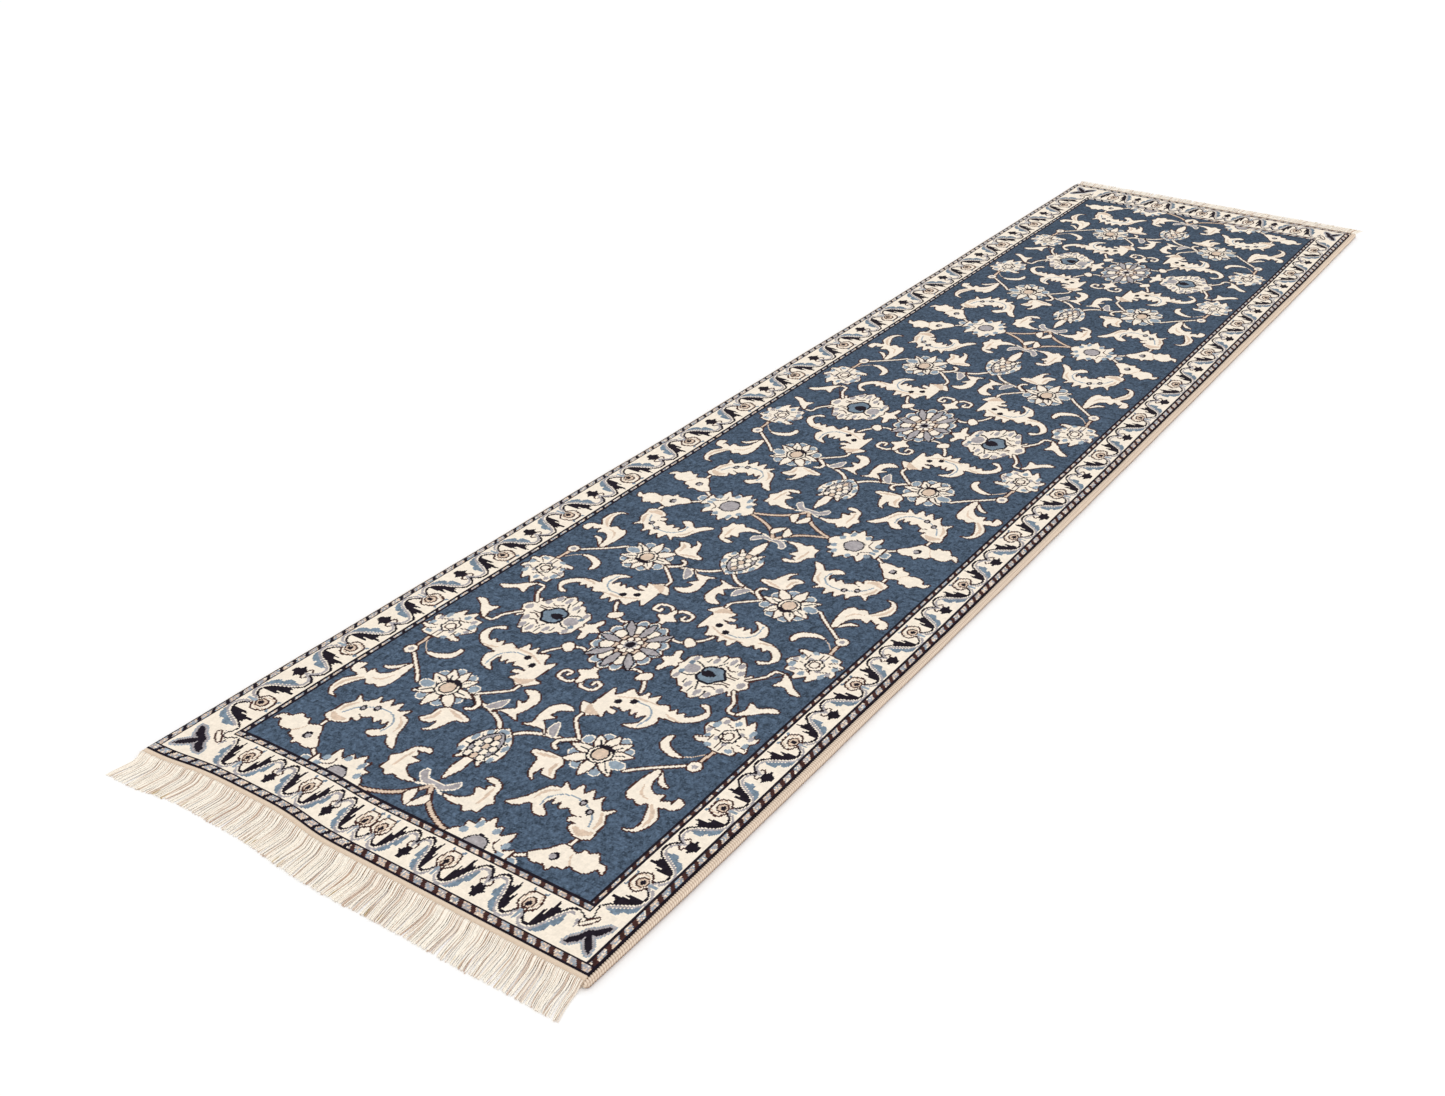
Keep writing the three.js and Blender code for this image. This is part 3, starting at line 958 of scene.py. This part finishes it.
def build_pile():
    yarn, zone, across, along = paint_rug()
    points = pile_points(across, along)
    quads = grid_faces(len(along) + 2, len(across) + 2)
    yarn, zone = np.pad(yarn, 1, mode="edge").ravel(), np.pad(zone, 1, mode="edge").ravel()
    slots = {"field": "field_wool", "main_border": "border_wool", "inner_guard": "guard_wool",
             "outer_guard": "guard_wool"}
    shades = knot_shades(len(along) + 1, len(across) + 1).ravel()
    materials = [wool_pile(f"wool_{name}", linear(*colour), *looks) for name, colour, *looks in YARNS]
    for zone_name, slot in slots.items():
        if zone_name == "field":
            nodes = ["field_pile"]
        else:
            nodes = [f"{zone_name}_{side}" for side in SIDES]
        for number, (yarn_name, *_) in enumerate(YARNS):
            chosen = (zone == zone_name) & (yarn == number)
            if not chosen.any():
                continue
            used, faces = np.unique(quads[chosen], return_inverse=True)
            name = f"{zone_name}_pile_{yarn_name}"
            piece = add_piece(name, points[used], faces.reshape(-1, 4), materials[number], slot, nodes)
            set_attribute(piece, "knot_shade", "FACE", shades[chosen])


CLOTH_GRID = (36, 150)  # points across and along the ground cloth


def build_foundation():
    """The ground cloth: a closed, thin slab under the pile."""
    columns, rows = CLOTH_GRID
    x, y = np.meshgrid(np.linspace(PILE[0], PILE[1], columns), np.linspace(PILE[2], PILE[3], rows))
    flat = np.column_stack([x.ravel(), y.ravel()])
    top = np.column_stack([flat, np.full(len(flat), GROUND_TOP)])
    bottom = np.column_stack([flat, np.zeros(len(flat))])
    material = yarn_material("ground_cotton", COTTON_COLOUR, 0.08)
    return add_piece("ground_cloth", *slab(top, bottom, rows, columns), material, "ground_cotton",
                     ["foundation"])


# ---------------------------------------------------------------- edges

WRAP_PITCH = 0.0038
WRAP_STEPS = 6
WRAP_RELIEF = 0.0010
WRAP_LEAN = 0.5  # of a turn, from the inner side to the outer one
END_ROUNDING = 0.45
# painted shade in the stitched grooves and in the valleys between the turns
GROOVE_PAINTED_SHADE = 0.35
VALLEY_PAINTED_SHADE = 0.7
WRAP_CORNERS = 30
WRAP_SQUARENESS = 0.75  # 1 is an oval section, less is squarer
GROOVES = (-0.0021, 0.0026)  # the stitched grooves' places across the edge, from its middle
GROOVE_DEPTH = 0.0007
GROOVE_WIDTH = 0.0006
GROOVE_BETWEEN = 0.35  # how much of a groove is left in the valleys between the turns
VALLEY = 0.45  # height of a turn, from 0 to 1, below which it is valley
# Share of an edge's CAD width and height; the left one is rolled under
TUCK = {"left": (0.5, 0.6), "right": (0.88, 0.88)}
TIGHTER = 0.3
TIGHTER_REACH = 0.12
CORD_PROUD = 0.0016
CORD_TWIST = 0.02
CORD_LOBES = 0.12
CORD_RINGS = 400


def slimmed(y):
    """The overcast edge's share of its width: it is pulled tighter towards the near end."""
    return 1 - TIGHTER * np.exp(-(y - PILE[2]) / TIGHTER_REACH)


def squared(wave):
    return np.sign(wave) * np.abs(wave) ** WRAP_SQUARENESS


def build_selvedge(side, material, cord_material):
    """Wool overcast round the side cord in close slanting turns, and the cord itself, seen at the ends."""
    low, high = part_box(f"selvedge_wrap_{side}")
    narrow, flat = TUCK[side]
    inner_x = high.x if side == "left" else low.x
    outward = 1 if side == "right" else -1
    half_z, middle_z = flat * (high.z - low.z) / 2, flat * (low.z + high.z) / 2
    full_x = narrow * (high.x - low.x) / 2
    count = int((high.y - low.y) / WRAP_PITCH * WRAP_STEPS)
    y = np.linspace(low.y, high.y, count)
    half_x = full_x * slimmed(y)[:, None]
    angle = np.arange(WRAP_CORNERS) * 2 * np.pi / WRAP_CORNERS
    lean = WRAP_LEAN * np.cos(angle)
    turn = np.abs(np.sin(np.pi * (y[:, None] / WRAP_PITCH + lean[None, :])))
    drift = 1 + 0.03 * np.sin(y * 23)[:, None] + 0.02 * np.sin(y * 61 + 1)[:, None]
    swell = (turn - 0.6) * WRAP_RELIEF
    to_end = np.minimum(y - low.y, high.y - y)[:, None] / half_x
    rounding = 1 - END_ROUNDING * (1 - np.clip(to_end, 0, 1)) ** 2
    across = (half_x * drift + swell) * rounding * squared(np.cos(angle))
    up = (half_z * drift + swell) * rounding * squared(np.sin(angle))
    on_top = np.sin(angle) > 0.2
    groove = sum(np.exp(-(((across - place) / GROOVE_WIDTH) ** 2)) for place in GROOVES) * on_top
    groove = groove * np.where(turn > VALLEY, 1.0, GROOVE_BETWEEN)
    up = np.maximum(up - GROOVE_DEPTH * groove, -middle_z)
    path = np.column_stack([inner_x + outward * half_x, y, np.full(count, middle_z)])
    points, faces = tube(path, np.stack([across, np.zeros(across.shape), up], 2))
    piece = add_piece(f"selvedge_overcast_{side}", points, faces, material, "selvedge_wool",
                      [f"selvedge_wrap_{side}"])
    # painted shade in the grooves and between the turns, handed to the material as the groove attribute
    dark = np.clip(GROOVE_PAINTED_SHADE * groove + VALLEY_PAINTED_SHADE * (1 - turn) ** 1.5, 0, 1)
    set_attribute(piece, "groove", "POINT", np.pad(dark, ((1, 1), (0, 0)), mode="edge"))

    low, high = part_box(f"selvedge_cord_{side}")
    y = np.linspace(low.y - CORD_PROUD, high.y + CORD_PROUD, CORD_RINGS)
    twist = 2 * np.pi * y / CORD_TWIST
    lobes = 1 - CORD_LOBES * np.abs(np.sin(1.5 * (angle[None, :] + twist[:, None])))
    section = np.stack([
        narrow * (high.x - low.x) / 2 * slimmed(y)[:, None] * lobes * np.cos(angle),
        np.zeros((len(y), WRAP_CORNERS)),
        flat * (high.z - low.z) / 2 * lobes * np.sin(angle),
    ], 2)
    path = np.column_stack([inner_x + outward * full_x * slimmed(y), y, np.full(len(y), middle_z)])
    points, faces = tube(path, section)
    add_piece(f"selvedge_core_{side}", points, faces, cord_material, "ground_cotton",
              [f"selvedge_cord_{side}"])


WARP_PITCH = 0.0021
KILIM_COURSES = 4
KILIM_RELIEF = 0.00035
KILIM_EDGE = 0.0035  # its thickness at the outer edge


def build_kilim(side, direction, material):
    """The flat-woven band: a few courses of weft over ribs of warp, thick where it leaves the pile."""
    low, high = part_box(f"kilim_{side}")
    inner = direction * PILE[3]
    outer = high.y if direction > 0 else low.y
    x = np.arange(PILE[0], PILE[1] + WARP_PITCH / 8, WARP_PITCH / 4)
    share = np.linspace(0, 1, 3 * KILIM_COURSES + 1)
    across, along = np.meshgrid(x, share)
    rib = np.abs(np.sin(np.pi * across / WARP_PITCH))
    course = np.abs(np.sin(np.pi * along * KILIM_COURSES + 0.4))
    top = high.z + (KILIM_EDGE - high.z) * along**1.3 + KILIM_RELIEF * (rib + course)
    upper = np.column_stack([across.ravel(), (inner + (outer - inner) * along).ravel(), top.ravel()])
    lower = upper * (1, 1, 0) + (0, 0, low.z)
    points, faces = slab(upper, lower, *across.shape, mirrored=direction < 0)
    add_piece(f"kilim_band_{side}", points, faces, material, "ground_cotton", [f"kilim_{side}"])


STITCH_PITCH = 0.0055
STITCH_CORNERS = 12


def build_end_stitch(side, material):
    """Two yarns twined along the outer edge of the woven end, which lock its wefts."""
    low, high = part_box(f"end_stitch_{side}")
    centre_y, centre_z = (low.y + high.y) / 2, (low.z + high.z) / 2
    radius = (high.z - low.z) / 2
    x = np.arange(PILE[0], PILE[1], STITCH_PITCH / 8)
    angle = np.arange(STITCH_CORNERS) * 2 * np.pi / STITCH_CORNERS
    twist = 2 * np.pi * x[:, None] / STITCH_PITCH / 2
    lobes = 0.72 + 0.36 * np.abs(np.cos(angle[None, :] - twist))
    section = radius * np.stack([np.zeros(lobes.shape), lobes * np.cos(angle), lobes * np.sin(angle)], 2)
    path = np.column_stack([x, np.full(len(x), centre_y), np.full(len(x), centre_z)])
    points, faces = tube(path, section)
    add_piece(f"locking_stitch_{side}", points, faces, material, "ground_cotton", [f"end_stitch_{side}"])


STRANDS = 530
STRAND_RADIUS = 0.00064
ROOT_OVERLAP = 0.006  # how far the roots lie over the flat-woven band
ROOT_HEIGHT = 0.0068
ROOT_DROP = 0.15  # share of a strand over which it comes down to the floor
STRAND_GROUPS = 42  # phase of the wavering from the left end of a fringe to the right one
GROUP_SWEEP = (0.002, 0.0015)  # sideways, of the broad groups and the fine ones
ROOT_STRAY = 0.0004
STRAND_STRAY = 0.0018
STRAND_WAVER = 0.0009
STRAND_LIFT = 1.5  # how far the highest strands lie over the lowest, in strand radii
STRAND_SLUBS = 0.12  # how much thicker and thinner a strand gets along its length
LENGTH_SPREAD = 0.012
STRAND_STEPS = 18
STRAND_CORNERS = 5
LEFT_SWEEP = 0.008
RIGHT_SWEEP = 0.011
FRINGE_TRIM = (0.90, 0.97)  # share of the CAD fringe's length that shows, left and right
TAN_TIPS = 0.05  # share of the strands whose tips are stained
TIP_STAIN = 0.8  # how far along a strand the stain starts


def build_fringe(side, direction, material):
    """The warp ends: fine strands lying side by side in wavering groups, their tips uneven."""
    random = np.random.default_rng(SEED + (5 if direction > 0 else 0))
    low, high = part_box(f"fringe_{side}")
    root_y = (low.y if direction > 0 else high.y) - direction * ROOT_OVERLAP
    tip_y = high.y if direction > 0 else low.y
    share = np.linspace(0, 1, STRAND_STEPS)
    angle = np.arange(STRAND_CORNERS) * 2 * np.pi / STRAND_CORNERS
    points, faces, stains, shades, start = [], [], [], [], 0
    for number in range(STRANDS):
        place = (number + 0.5) / STRANDS
        root_x = PILE[0] + place * WIDTH + random.normal(0, ROOT_STRAY)
        group = place * STRAND_GROUPS
        sweep = RIGHT_SWEEP * place**2 - LEFT_SWEEP * (1 - place) ** 4
        sweep += GROUP_SWEEP[0] * np.sin(group) + GROUP_SWEEP[1] * np.sin(group * 2.7 + 1)
        sweep += random.normal(0, STRAND_STRAY)
        waver = STRAND_WAVER * np.sin(share * 5.0 + group * 0.8 + random.normal(0, 0.5)) * share
        trim = FRINGE_TRIM[0] + (FRINGE_TRIM[1] - FRINGE_TRIM[0]) * place
        trim += random.normal(0, LENGTH_SPREAD) + LENGTH_SPREAD * np.sin(group * 0.6)
        length = (tip_y - root_y) * trim
        x = root_x + sweep * share**1.4 + waver
        y = root_y + length * share
        layer = random.random()
        z = STRAND_RADIUS * (1 + STRAND_LIFT * layer) + ROOT_HEIGHT * np.exp(-((share / ROOT_DROP) ** 2))
        path = np.column_stack([x, y, np.broadcast_to(z, x.shape)])
        thick = STRAND_RADIUS * (1 + STRAND_SLUBS * np.sin(share * 60 + random.uniform(0, 6)))
        thick = thick * random.uniform(0.85, 1.15)
        section = np.stack([thick[:, None] * np.cos(angle), np.zeros((STRAND_STEPS, STRAND_CORNERS)),
                            thick[:, None] * np.sin(angle)], 2)
        strand_points, strand_faces = tube(path, section)
        points.append(strand_points)
        faces.append(strand_faces + start)
        start += len(strand_points)
        stained = random.random() < TAN_TIPS
        stain = np.pad(stained * (share > TIP_STAIN) * random.uniform(0.4, 1.0), 1, mode="edge")
        stains.append(np.repeat(stain, STRAND_CORNERS))
        # the layer also sets how much painted shade the strand gets
        shades.append(np.full(len(strand_points), layer))
    piece = add_piece(f"fringe_strands_{side}", np.vstack(points), np.vstack(faces), material,
                      "fringe_cotton", [f"fringe_{side}"])
    set_attribute(piece, "stain", "POINT", np.concatenate(stains))
    set_attribute(piece, "layer", "POINT", np.concatenate(shades))


# ---------------------------------------------------------------- floor, light and camera

FLOOR_REACH = 40  # to each side, in metres
FLOOR_COLOUR = (0.95, 0.95, 0.95)
SURROUND = 1.0
SUN_STRENGTH = 0.45
SUN_WIDTH = 60  # degrees
SUN_TURN = (35, 35, 0)  # degrees


def build_stage():
    mesh = bpy.data.meshes.new("floor")
    reach = FLOOR_REACH
    corners = [(-reach, -reach, 0), (reach, -reach, 0), (reach, reach, 0), (-reach, reach, 0)]
    mesh.from_pydata(corners, [], [(0, 1, 2, 3)])
    floor = bpy.data.objects.new("floor", mesh)
    bpy.context.scene.collection.objects.link(floor)
    material, _, shader = new_material("floor_paint", FLOOR_COLOUR, 0.8, 0)
    shader.inputs["Specular IOR Level"].default_value = 0.1
    mesh.materials.append(material)


def build_light():
    """An even white surround, and a wide, weak sun that gives the relief its soft shadows."""
    world = bpy.data.worlds.new("studio")
    world.use_nodes = True
    background = world.node_tree.nodes["Background"]
    background.inputs["Color"].default_value = (1, 1, 1, 1)
    background.inputs["Strength"].default_value = SURROUND
    bpy.context.scene.world = world
    data = bpy.data.lights.new("window_light", "SUN")
    data.angle = math.radians(SUN_WIDTH)
    data.energy = SUN_STRENGTH
    lamp = bpy.data.objects.new("window_light", data)
    bpy.context.scene.collection.objects.link(lamp)
    lamp.rotation_euler = [math.radians(turn) for turn in SUN_TURN]
    bpy.context.scene.view_settings.view_transform = "Standard"


def build_camera():
    data = bpy.data.cameras.new("camera")
    data.sensor_width = CAMERA_SENSOR
    data.lens = CAMERA_LENS
    data.clip_end = 100
    camera = bpy.data.objects.new("camera", data)
    bpy.context.scene.collection.objects.link(camera)
    camera.location = CAMERA_PLACE
    camera.rotation_euler = [math.radians(turn) for turn in CAMERA_TURN]
    bpy.context.scene.camera = camera


build_camera()
build_light()
build_stage()
cloth = build_foundation()
build_pile()
overcast_wool = overcast_material("overcast_wool", SELVEDGE_COLOUR, SELVEDGE_PAINTED_SHADE)
cord_cotton = yarn_material("cord_cotton", COTTON_COLOUR, 0.08)
kilim_cotton = yarn_material("kilim_cotton", COTTON_COLOUR, 0.09)
stitch_cotton = yarn_material("stitch_cotton", COTTON_COLOUR, 0.09)
fringe_cotton = fringe_material("fringe_cotton", FRINGE_COLOUR, LOW_STRAND_SHADE_COLOUR, TIP_COLOUR)
for side in ("left", "right"):
    build_selvedge(side, overcast_wool, cord_cotton)
for side, direction in (("near", -1), ("far", 1)):
    build_kilim(side, direction, kilim_cotton)
    build_end_stitch(side, stitch_cotton)
    build_fringe(side, direction, fringe_cotton)
